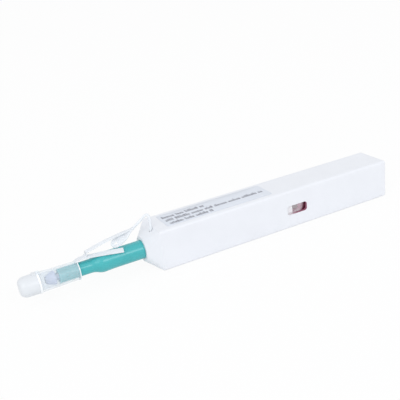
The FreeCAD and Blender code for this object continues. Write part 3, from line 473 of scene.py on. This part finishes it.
def woven(name, colour, roll_centre=None):
    """Microfibre weave: two crossed waves; on a roll, rings show its turns of tape."""
    finish = Finish(name, Roughness=0.85, Sheen_Weight=0.3)
    warp, weft = (finish.add("ShaderNodeTexWave", {
        "Vector": finish.place, "Scale": WEAVE_SCALE, "Distortion": 0.6},
        bands_direction=direction) for direction in "XY")
    relief = finish.maths("MULTIPLY", warp.outputs["Fac"], weft.outputs["Fac"])
    if roll_centre is not None:
        centred = finish.add("ShaderNodeMapping", {
            "Vector": finish.place, "Location": [-c * MM for c in roll_centre]})
        turns = finish.add("ShaderNodeTexWave", {
            "Vector": centred.outputs["Vector"], "Scale": TURNS_SCALE, "Distortion": 0.4},
            wave_type="RINGS", rings_direction="Y")
        relief = finish.maths("ADD", turns.outputs["Fac"], relief)
    finish.link(finish.mix(relief, shade(colour, 0.8), shade(colour, 1.05)), "Base Color")
    finish.bump(relief, 0.00005, 0.6)
    return finish


def reel_plastic(colour, centre):
    """Deep red flange, thin enough for the pale tape wound behind it to show through; the
    show-through is painted: the colour goes from a rosy grey inside the roll's radius to
    the full red outside."""
    finish = Finish(f"Reel red {centre[0]:.0f}", Roughness=0.3)
    edge = finish.ramp(finish.distance(centre), ROLL_EDGE_INSIDE * MM, ROLL_EDGE_OUTSIDE * MM)
    streak = finish.ramp(finish.noise(ROLL_STREAK_SCALE, 3.0, (1, 1, 2.2)), 0.35, 0.65)
    rosy = finish.mix(streak, ROLL_DARK, ROLL_PALE)
    finish.link(finish.mix(edge, rosy, shade(colour)), "Base Color")
    finish.bump(streak, 0.00003, 0.3)
    return finish


def paint_node(node, finish):
    """Gives a CAD node its finish."""
    mesh = frame["nodes"][node].data
    mesh.materials.clear()
    mesh.materials.append(finish.material)


# --------------------------------------------------------------------------
# Operators
# --------------------------------------------------------------------------
class PEN_OT_housing(bpy.types.Operator):
    """Finish the two housing shells in satin white with a fine moulded skin; the near shell's
    window walls get painted shade and a painted reflection of the reel's red
    """
    bl_idname = "pen.housing"
    bl_label = "Housing Finish"

    def execute(self, context):
        finish = moulded("Housing plastic", context.scene.pen_colours.housing, 0.36,
                         variation=0.012, Specular_IOR_Level=0.4)
        paint_node("housing_far_shell", finish)
        # The near shell's window walls carry painted shade and a painted reflection of the
        # reel's red
        paint_node("housing_near_shell", shell_with_painted_slot_light(context.scene.pen_colours))
        return {"FINISHED"}


def shell_with_painted_slot_light(colours):
    """Housing plastic whose window walls carry painted light: a painted grey shade at the
    window's front end grows along the window into a painted reflection of the reel's red
    towards its rear end; the colour turns behind the outer face, near the window only."""
    finish = moulded("Housing plastic with painted slot shade", colours.housing, 0.36, variation=0.012,
                     Specular_IOR_Level=0.4)
    plain = finish.shader.inputs["Base Color"].links[0].from_socket
    spot = finish.add("ShaderNodeSeparateXYZ", {"Vector": finish.place}).outputs
    face = HOUSING_LOW[1]
    behind = finish.ramp(spot["Y"], (face + SLOT_SHADE_SHALLOW) * MM, (face + SLOT_SHADE_DEEP) * MM)
    along = finish.ramp(spot["X"], SHADE_TO_RED_START * MM, SHADE_TO_RED_END * MM)
    around = finish.ramp(finish.distance(WINDOW_CENTRE), SLOT_SHADE_OUTSIDE * MM, SLOT_SHADE_INSIDE * MM)
    # Where the painted shade and reflection lie: behind the outer face, near the window
    near = finish.maths("MULTIPLY", behind, around)
    # Painted grey shade at the window's front end, turning into the painted red reflection
    wall_shade_and_reflection = finish.mix(along, SLOT_WALL_SHADE, SLOT_WALL_RED_REFLECTION)
    finish.link(finish.mix(near, plain, wall_shade_and_reflection), "Base Color")
    return finish


class PEN_OT_label(bpy.types.Operator):
    """Lay the label film on the top face and print its generic bars"""
    bl_idname = "pen.label"
    bl_label = "Label and Print"

    def execute(self, context):
        sizes, colours = context.scene.pen_sizes, context.scene.pen_colours
        film = moulded("Label film", colours.label, 0.5, variation=0.015, grain=0.00001)
        centre, half = (LABEL_LOW + LABEL_HIGH) / 2, (LABEL_HIGH - LABEL_LOW) / 2
        label = piece("label_film", [rounded_plate(
            centre, half, sizes.label_corner / MM)], film.material, "housing")
        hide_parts("top_label")
        ink = Finish("Label ink", Roughness=0.6)
        patch = ink.ramp(ink.noise(INK_SCALE, 2.0), 0.55, 0.75)
        ink.link(ink.mix(patch, shade(colours.ink), shade(colours.label, 0.8)), "Base Color")
        bars = piece("label_print", [printed_bars(sizes.print_height / MM)],
                     ink.material, "housing")
        return {"FINISHED"}


def rounded_plate(centre, half, corner):
    """A plate with rounded corners.  Its rows are copies of one outline, a rectangle
    with quarter-circle corners, shrunk to the centre on the underside, full size at the
    edge, and shrunk to the centre again on top."""
    angle = np.linspace(0, 2 * np.pi, 64, endpoint=False) + np.pi / 64
    side = np.stack([np.sign(np.cos(angle)), np.sign(np.sin(angle))], axis=-1)
    outline = side * (half[:2] - corner) + corner * np.stack([np.cos(angle), np.sin(angle)],
                                                             axis=-1)
    share = np.array([0.0, 0.5, 0.995, 1.0, 1.0, 0.995, 0.5, 0.0])
    level = np.array([-1.0, -1.0, -1.0, -0.6, 0.6, 1.0, 1.0, 1.0]) * half[2]
    points = np.zeros((len(share), len(outline), 3))
    points[..., :2] = share[:, None, None] * outline
    points[..., 2] = level[:, None]
    return shell(points + centre)


def printed_bars(height):
    """Three rows of plain bars.  Widths and gaps are drawn from a seeded generator and
    summed into starts, and every bar is the same eight corners moved and scaled."""
    chance = np.random.default_rng(PRINT_SEED)
    length = LABEL_HIGH[0] - LABEL_LOW[0]
    width = LABEL_HIGH[1] - LABEL_LOW[1]
    lows, highs = [], []
    for share, first, last in PRINT_ROWS:
        wide = chance.uniform(*BAR_WIDTHS, BARS_DRAWN)
        gap = np.full(BARS_DRAWN, BAR_GAP)
        gap[np.cumsum(chance.integers(*WORD_BARS, WORDS_DRAWN)) % BARS_DRAWN] = WORD_GAP
        begin = first + np.cumsum(wide + gap) - wide
        keep = begin + wide < min(last, length - PRINT_MARGIN)
        begin, wide = begin[keep], wide[keep]
        tall = height * chance.choice(BAR_HEIGHTS, len(begin))
        row = LABEL_HIGH[1] - share * width
        base = np.full(len(begin), row - height / 2)
        top = np.full(len(begin), LABEL_HIGH[2])
        start = LABEL_LOW[0] + begin
        lows.append(np.stack([start, base, top - PRINT_SUNK], -1))
        highs.append(np.stack([start + wide, base + tall, top + PRINT_RAISED], -1))
    low, high = np.vstack(lows)[:, None], np.vstack(highs)[:, None]
    corner = np.array([[0, 0, 0], [1, 0, 0], [1, 1, 0], [0, 1, 0],
                       [0, 0, 1], [1, 0, 1], [1, 1, 1], [0, 1, 1]])
    quads = np.array([[0, 3, 2, 1], [4, 5, 6, 7], [0, 1, 5, 4], [1, 2, 6, 5],
                      [2, 3, 7, 6], [3, 0, 4, 7]])
    vertices = (low + (high - low) * corner).reshape(-1, 3)
    faces = (quads + 8 * np.arange(len(low))[:, None, None]).reshape(-1, 4)
    return vertices, faces


class PEN_OT_nozzle(bpy.types.Operator):
    """Turn the teal nozzle with its soft shoulder, and the bush in the nose's hole"""
    bl_idname = "pen.nozzle"
    bl_label = "Nozzle"

    def execute(self, context):
        sizes = context.scene.pen_sizes
        edge, shoulder = sizes.moulded_edge / MM, sizes.shoulder_ease / MM
        reach = NOZZLE_HIGH[0] - NOZZLE_LOW[0]
        neck = reach - SPOUT_LENGTH
        swelling = neck - SHOULDER_LENGTH
        corners = [(0, BARREL_BORE), (swelling, BARREL_BORE), (swelling, SPOUT_BORE),
                   (reach, SPOUT_BORE), (reach, SPOUT_RADIUS), (neck, SPOUT_RADIUS),
                   (swelling, SWELLING_RADIUS), (swelling - SWELLING_LENGTH, BARREL_RADIUS),
                   (FLANGE_LENGTH, BARREL_RADIUS), (FLANGE_LENGTH, FLANGE_RADIUS),
                   (0, FLANGE_RADIUS)]
        ease = [0.1, 0.1, 0.1, 0.2, edge, shoulder, shoulder, shoulder, 0.2, edge, edge]
        finish = moulded("Nozzle plastic", context.scene.pen_colours.nozzle, 0.27,
                         variation=0.05, grain=0.00003, Specular_IOR_Level=0.5)
        barrel = piece("nozzle_barrel", [revolved(eased(corners, ease, 8), NOZZLE_HIGH[0], 128)],
                       finish.material, "carriage")
        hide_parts("nozzle")
        ring = ring_outline(0, BUSH_LENGTH - BUSH_SETBACK, BUSH_BORE, BUSH_RADIUS, 0.06)
        white = moulded("Nose bush", context.scene.pen_colours.housing, 0.36)
        bush = piece("nose_bush", [revolved(ring, NOSE_TIP + BUSH_LENGTH, 128)],
                     white.material, "housing")
        return {"FINISHED"}


class PEN_OT_guide_cap(bpy.types.Operator):
    """Turn the clear guide cap with its grip, front wall and guide, and two opaque rings at its
    ends that carry a painted highlight
    """
    bl_idname = "pen.guide_cap"
    bl_label = "Guide Cap"

    def execute(self, context):
        reach = CAP_REAR - CAP_FRONT
        full = CAP_REAR - CAP_LOW[0]
        wall, lip = reach - FRONT_WALL, reach + LIP_LENGTH
        corners = [(0, GRIP_BORE), (GRIP_LENGTH, GRIP_BORE),
                   (GRIP_LENGTH + GRIP_TAPER, CHAMBER_BORE), (wall, CHAMBER_BORE),
                   (wall, FERRULE_BORE), (full, FERRULE_BORE), (full, GUIDE_RADIUS),
                   (lip, GUIDE_RADIUS), (lip, LIP_RADIUS), (reach, LIP_RADIUS),
                   (reach, CAP_FRONT_RADIUS), (REAR_RIM_LENGTH + 0.1, CAP_REAR_RADIUS),
                   (REAR_RIM_LENGTH, REAR_RIM_RADIUS), (0, REAR_RIM_RADIUS)]
        clear = moulded("Clear cap", context.scene.pen_colours.cap, 0.28, variation=0.01,
                        grain=0.00001, Alpha=0.24)
        tube = revolved(eased(corners, 0.18, 5), CAP_REAR, 128)
        ear = pillow((CAP_FRONT + EAR_SETBACK, 0, EAR_HEIGHT), EAR_HALF)
        cap = piece("cap_tube", [tube, ear], clear.material, "cap")
        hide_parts("guide_cap")
        # Two opaque bright rings at the cap's thicker clear rims; their brightness is a painted
        # highlight
        front = ring_outline(reach + FRONT_RING_START, reach + FRONT_RING_END,
                             *FRONT_RING_RADII, 0.1)
        rear = ring_outline(REAR_RING_START, REAR_RING_END, *REAR_RING_RADII, 0.08)
        bright = moulded("Cap rim highlight", context.scene.pen_colours.rim, 0.3, variation=0.01)
        rim_highlight_rings = piece("cap_collar", [revolved(front, CAP_REAR, 128),
                                      revolved(rear, CAP_REAR, 128)], bright.material, "cap")
        return {"FINISHED"}


class PEN_OT_lid(bpy.types.Operator):
    """Turn the milky lid as a cup with a rounded end"""
    bl_idname = "pen.lid"
    bl_label = "Lid"

    def execute(self, context):
        reach = CAP_FRONT - LID_LOW[0]
        floor = reach - LID_WALL
        corners = [(floor, 0), (floor, LID_FLOOR_RADIUS), (reach - LID_BORE_GAP, LID_BORE),
                   (0.0, LID_BORE), (0.0, LID_RADIUS),
                   (reach - LID_SHOULDER_GAP, LID_SHOULDER_RADIUS),
                   (reach - LID_CROWN_GAP, LID_CROWN_RADIUS), (reach, 0)]
        ease = [0, 0.6, 0.6, 0.15, 0.15, 1.3, 1.3, 0]
        milky = moulded("Milky lid", context.scene.pen_colours.lid, 0.34, variation=0.012)
        cup = revolved(eased(corners, ease, 10), CAP_FRONT, 128, closed=False)
        ear = pillow((CAP_FRONT - EAR_SETBACK, 0, EAR_HEIGHT), EAR_HALF)
        lid = piece("lid_cup", [cup, ear], milky.material, "lid")
        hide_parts("cap_lid")
        return {"FINISHED"}


class PEN_OT_strap(bpy.types.Operator):
    """Mould the folded strap with its paddle and knot, and the tie to the eyelet"""
    bl_idname = "pen.strap"
    bl_label = "Strap and Tie"

    def execute(self, context):
        sizes = context.scene.pen_sizes
        soft = moulded("Soft strap", context.scene.pen_colours.strap, 0.4, variation=0.03,
                       grain=0.00004, Alpha=0.8)
        wide, thick = sizes.strap_width / MM / 2, sizes.strap_thickness / MM / 2
        lie = NOZZLE_TOP + thick + LIE_GAP
        fold = np.array([CAP_REAR + 4.2, 0, RIM_TOP + 2.4])
        knot = np.array([NOSE_TIP - 2.7, 0, HOUSING_HIGH[2] + 0.95])
        end = np.array([knot[0] - PADDLE_LENGTH, 0, NOZZLE_TOP + PADDLE_RISE])
        # From the cap's rim back over the spout, up to the fold, and on to the knot
        root = smooth_path([
            (CAP_REAR - 0.8, 0, RIM_TOP - 0.15), (CAP_REAR + 1.2, 0, lie - 0.1),
            (CAP_REAR + 3.0, 0, lie + 0.05), (fold[0] - 0.1, 0, lie + 0.8), fold])
        upper = smooth_path([fold, fold + (knot - fold) * 0.35 + (0, 0, 0.5),
                             fold + (knot - fold) * 0.7 + (0, 0, 0.4), knot])
        share = np.linspace(0, 1, 40)
        lean = BAND_LEAN * share
        lying = lie - AXIS
        lower = np.stack([BAND_START + (BAND_END - BAND_START) * share,
                          -lying * np.sin(lean), AXIS + lying * np.cos(lean)], -1)
        tangential = np.stack([np.zeros(40), np.cos(lean), np.sin(lean)], -1)
        taper = wide * (1 - 0.45 * np.linspace(0, 1, len(upper)) ** 2)
        side = (0, 1, 0)
        strap = piece("folding_strap", [
            carried(root, wide, thick, side, 5), carried(upper, taper, thick, side, 5),
            carried(lower, wide - 0.1 * share, thick, tangential, 5),
            paddle(knot, end, sizes.paddle_width / MM / 2, thick),
            pillow(knot, KNOT_HALF, 2.4)], soft.material)
        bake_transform(strap)
        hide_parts("cap_strap")

        # From the knot over a high arch and down into the eyelet's mouth
        mouth = np.array([NOSE_TIP + 4.2, -2.6, HOUSING_HIGH[2]])
        route = smooth_path([
            knot + (0.5, -0.05, 0.3), (knot + mouth) / 2 + (0, 0.6, 3.1),
            mouth + (-0.7, 1.3, 5.75), mouth + (0.2, 0.3, 4.5), mouth + (0.1, 0, 1.86),
            mouth + (0, 0, -1), mouth + (0, 0, -2.9)], 12)
        tie = piece("eyelet_tie", [carried(route, sizes.tie_width / MM / 2,
                                           sizes.tie_thickness / MM / 2, (1, 0.35, 0), 3)],
                    soft.material)
        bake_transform(tie)
        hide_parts("strap_tie")
        return {"FINISHED"}


def paddle(knot, end, wide, thick):
    """A flat pad with a hole near its free end.  Columns go round by the angle a; each
    is a straight mix from the hole's circle to the outer superellipse, and rows go up
    through the hole, out over the top, round the edge and back underneath.  The pad
    tilts and twists more with the square of the distance from the knot, and sags by a
    half sine along its length."""
    run = end - knot
    length = np.linalg.norm(run)
    along = run / length
    lift = np.cross((0, 1, 0), along)
    angle = np.linspace(0, 2 * np.pi, 72, endpoint=False)
    c, s = np.cos(angle), np.sin(angle)
    round_c, round_s = (np.sign(v) * np.abs(v) ** (2 / 2.7) for v in (c, s))
    outer = np.stack([length / 2 + 0.2 + (length / 2 + 0.2) * round_c, wide * round_s], -1)
    outer[:, 1] *= 0.45 + 0.55 * np.clip(outer[:, 0] / (0.45 * length), 0, 1)
    inner = np.stack([length - 1.6 + 0.6 * c, 0.6 * s], -1)
    share = np.array([0, 0, .2, .4, .6, .8, .94, 1, 1, .94, .8, .6, .4, .2])
    level = np.array([-1, 1, 1, 1, 1, 1, 1, .45, -.45, -1, -1, -1, -1, -1]) * thick
    flat = inner + share[:, None, None] * (outer - inner)
    portion = np.clip(flat[..., 0] / length, 0, 1)
    tilt = PADDLE_TILT + PADDLE_TWIST * portion ** 2
    across = (np.cos(tilt)[..., None] * np.array([0, 1.0, 0])
              + np.sin(tilt)[..., None] * lift)
    normal = np.cross(along, across)
    sag = -0.3 * np.sin(np.pi * portion)
    points = (knot + flat[..., :1] * along + flat[..., 1:] * across
              + (level[:, None] + sag)[..., None] * normal)
    return shell(points, wrap_rows=True)


class PEN_OT_springs(bpy.types.Operator):
    """Wind the return spring and the tip spring in drawn steel"""
    bl_idname = "pen.springs"
    bl_label = "Springs"

    def execute(self, context):
        steel = turned_steel("Drawn steel", context.scene.pen_colours.steel)
        for node, wire, turns, joint, travel in (
                ("return_spring", 0.7, 8, "nozzle_push", 8.5),
                ("tip_spring", 0.28, 7, "tip_press", 1.0)):
            low, high = span(node)
            centre = (low + high) / 2
            radius = (high[1] - low[1] - wire) / 2
            share = np.linspace(0, 1, turns * 28 + 1)
            angle = 2 * np.pi * turns * share
            path = np.stack([low[0] + wire / 2 + (high[0] - low[0] - wire) * share,
                             centre[1] + radius * np.cos(angle),
                             centre[2] + radius * np.sin(angle)], -1)
            spring = piece(f"{node}_wire", [carried(path, wire / 2, wire / 2, (1, 0, 0), 2, 12)],
                           steel.material)
            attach(spring, frame["nodes"][node]["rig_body"])
            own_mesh(spring)
            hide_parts(node)
        for node in ("turn_pin", "tape_guide_pin"):
            paint_node(node, steel)
        # The reels' axles in a darker, slightly pink steel
        dark = turned_steel("Darker steel", context.scene.pen_colours.axle)
        for node in ("takeup_axle", "supply_axle"):
            paint_node(node, dark)
        return {"FINISHED"}


class PEN_OT_mechanism(bpy.types.Operator):
    """Finish the carriage, shaft, reels, pinion and tape, and put a cone round the tip"""
    bl_idname = "pen.mechanism"
    bl_label = "Mechanism Finishes"

    def execute(self, context):
        colours = context.scene.pen_colours
        inner = moulded("Inner moulding", colours.inner, 0.5, variation=0.03)
        for node in ("carriage_frame", "feed_rack", "ratchet_pawl"):
            paint_node(node, inner)
        shaft = moulded("Shaft plastic", colours.shaft, 0.42, variation=0.02)
        paint_node("tip_shaft", shaft)
        paint_node("cleaning_tip", shaft)
        begin = NOZZLE_LOW[0] - CONE_START_GAP
        reach = begin - TIP_FACE - CONE_END_GAP
        profile = [(0, CONE_BORE), (0, CONE_REAR_RADIUS), (CONE_BAND, CONE_REAR_RADIUS),
                   (reach, CONE_FRONT_RADIUS), (reach, CONE_BORE)]
        outline = eased(profile, [0.05, 0.2, 0.3, 0.06, 0.03], 5)
        cone = piece("tip_cone", [revolved(outline, begin, 96)], shaft.material, "tip")
        for node, roll, low, high in (
                ("takeup_reel", "takeup_tape_roll", TAKEUP_LOW, TAKEUP_HIGH),
                ("supply_reel", "supply_tape_roll", SUPPLY_LOW, SUPPLY_HIGH)):
            centre = (low + high) / 2
            paint_node(node, reel_plastic(colours.reel, centre))
            paint_node(roll, woven(f"Wound tape {centre[0]:.0f}", colours.tape, centre))
        paint_node("drive_pinion", moulded("Pinion red", colours.reel, 0.4, variation=0.05))
        paint_node("cleaning_tape", woven("Cleaning tape", colours.tape))
        return {"FINISHED"}


# Floor in millimetres, camera in metres
FLOOR_SIDE, FLOOR_LEVEL, FLOOR_GLOW = 3000.0, -0.05, 0.92
DAYLIGHT, DAYLIGHT_STRENGTH = (0.97, 0.985, 1.0, 1), 0.84
LAMP_TARGET = (0, 0, 0.009)
CAMERA_PLACE, CAMERA_TARGET = (-0.1462, -0.2388, 0.1316), (-0.0353, 0.0, 0.0224)
CAMERA_ROLL, FOCAL_LENGTH, SENSOR_WIDTH = math.radians(-6.84), 60.2, 36.0


class PEN_OT_stage(bpy.types.Operator):
    """Set the pale floor, the soft lights and the camera"""
    bl_idname = "pen.stage"
    bl_label = "Stage"

    def execute(self, context):
        scene = context.scene
        scene.view_settings.view_transform = "Standard"
        corners = np.array([[x * FLOOR_SIDE, y * FLOOR_SIDE, FLOOR_LEVEL]
                            for x, y in ((-1, -1), (1, -1), (1, 1), (-1, 1))])
        floor = piece("floor", [(corners, np.array([[0, 1, 2, 3]]))],
                      floor_material(scene.pen_colours.floor))

        world = bpy.data.worlds.new("Soft daylight")
        scene.world = world
        world.use_nodes = True
        tree = world.node_tree
        tree.nodes.clear()
        lit = add_node(tree, "ShaderNodeBackground",
                       {"Color": DAYLIGHT, "Strength": DAYLIGHT_STRENGTH})
        seen = add_node(tree, "ShaderNodeBackground", {"Color": WHITE})
        blend = add_node(tree, "ShaderNodeMixShader", {
            0: seen_directly(tree), 1: lit.outputs[0], 2: seen.outputs[0]})
        add_node(tree, "ShaderNodeOutputWorld", {"Surface": blend.outputs[0]})

        for name, place, size, power in (
                ("key_light", (-0.75, -0.6, 0.75), 0.7, 2.5),
                ("streak_light", (0.19, -0.93, 0.64), 0.3, 1.9)):
            lamp = bpy.data.lights.new(name, "AREA")
            lamp.size = size
            lamp.energy = power
            light = bpy.data.objects.new(name, lamp)
            scene.collection.objects.link(light)
            light.matrix_world = aimed(place, LAMP_TARGET)

        lens = bpy.data.cameras.new("camera")
        lens.lens = FOCAL_LENGTH
        lens.sensor_width = SENSOR_WIDTH
        lens.clip_start = 0.01
        camera = bpy.data.objects.new("camera", lens)
        scene.collection.objects.link(camera)
        camera.matrix_world = aimed(CAMERA_PLACE, CAMERA_TARGET, CAMERA_ROLL)
        scene.camera = camera
        return {"FINISHED"}


def seen_directly(tree):
    """1 for rays from the camera, off gloss or through clear plastic; 0 for light."""
    path = add_node(tree, "ShaderNodeLightPath").outputs
    total = path["Is Camera Ray"]
    for name in ("Is Glossy Ray", "Is Transmission Ray"):
        total = add_node(tree, "ShaderNodeMath", {0: total, 1: path[name]},
                         operation="MAXIMUM").outputs[0]
    return total


def floor_material(colour):
    """Pale table that looks nearly white and keeps a soft shadow."""
    material = bpy.data.materials.new("Pale table")
    material.use_nodes = True
    tree = material.node_tree
    tree.nodes.clear()
    matte = add_node(tree, "ShaderNodeBsdfDiffuse", {"Color": (*colour, 1)})
    bright = add_node(tree, "ShaderNodeEmission")
    share = add_node(tree, "ShaderNodeMath", {0: seen_directly(tree), 1: FLOOR_GLOW},
                     operation="MULTIPLY")
    blend = add_node(tree, "ShaderNodeMixShader", {
        0: share.outputs[0], 1: matte.outputs[0], 2: bright.outputs[0]})
    add_node(tree, "ShaderNodeOutputMaterial", {"Surface": blend.outputs[0]})
    return material


def aimed(place, target, roll=0.0):
    """A matrix at `place` that looks at `target`, turned by `roll` about its own view."""
    place = Vector(place)
    forward = (Vector(target) - place).normalized()
    right = forward.cross(Vector((0, 0, 1))).normalized()
    up = right.cross(forward)
    x = math.cos(roll) * right + math.sin(roll) * up
    y = -math.sin(roll) * right + math.cos(roll) * up
    turn = Matrix((x, y, -forward)).transposed().to_4x4()
    return Matrix.Translation(place) @ turn


class PEN_PT_panel(bpy.types.Panel):
    """Lists the pen's pieces, sizes and colours"""
    bl_label = "Cleaning Pen"
    bl_idname = "PEN_PT_panel"
    bl_space_type = "VIEW_3D"
    bl_region_type = "UI"
    bl_category = "Cleaning Pen"

    def draw(self, context):
        for operator in OPERATORS:
            self.layout.operator(operator.bl_idname)
        for group in (context.scene.pen_sizes, context.scene.pen_colours):
            for name in group.__annotations__:
                self.layout.prop(group, name)


OPERATORS = (PEN_OT_housing, PEN_OT_label, PEN_OT_nozzle, PEN_OT_guide_cap, PEN_OT_lid,
             PEN_OT_strap, PEN_OT_springs, PEN_OT_mechanism, PEN_OT_stage)
CLASSES = (PenSizes, PenColours, *OPERATORS, PEN_PT_panel)


def register():
    for cls in CLASSES:
        bpy.utils.register_class(cls)
    bpy.types.Scene.pen_sizes = PointerProperty(type=PenSizes)
    bpy.types.Scene.pen_colours = PointerProperty(type=PenColours)


def unregister():
    del bpy.types.Scene.pen_sizes, bpy.types.Scene.pen_colours
    for cls in reversed(CLASSES):
        bpy.utils.unregister_class(cls)


def main():
    register()
    for name in ("housing", "label", "nozzle", "guide_cap", "lid", "strap", "springs",
                 "mechanism", "stage"):
        getattr(bpy.ops.pen, name)()


if __name__ == "__main__":
    main()
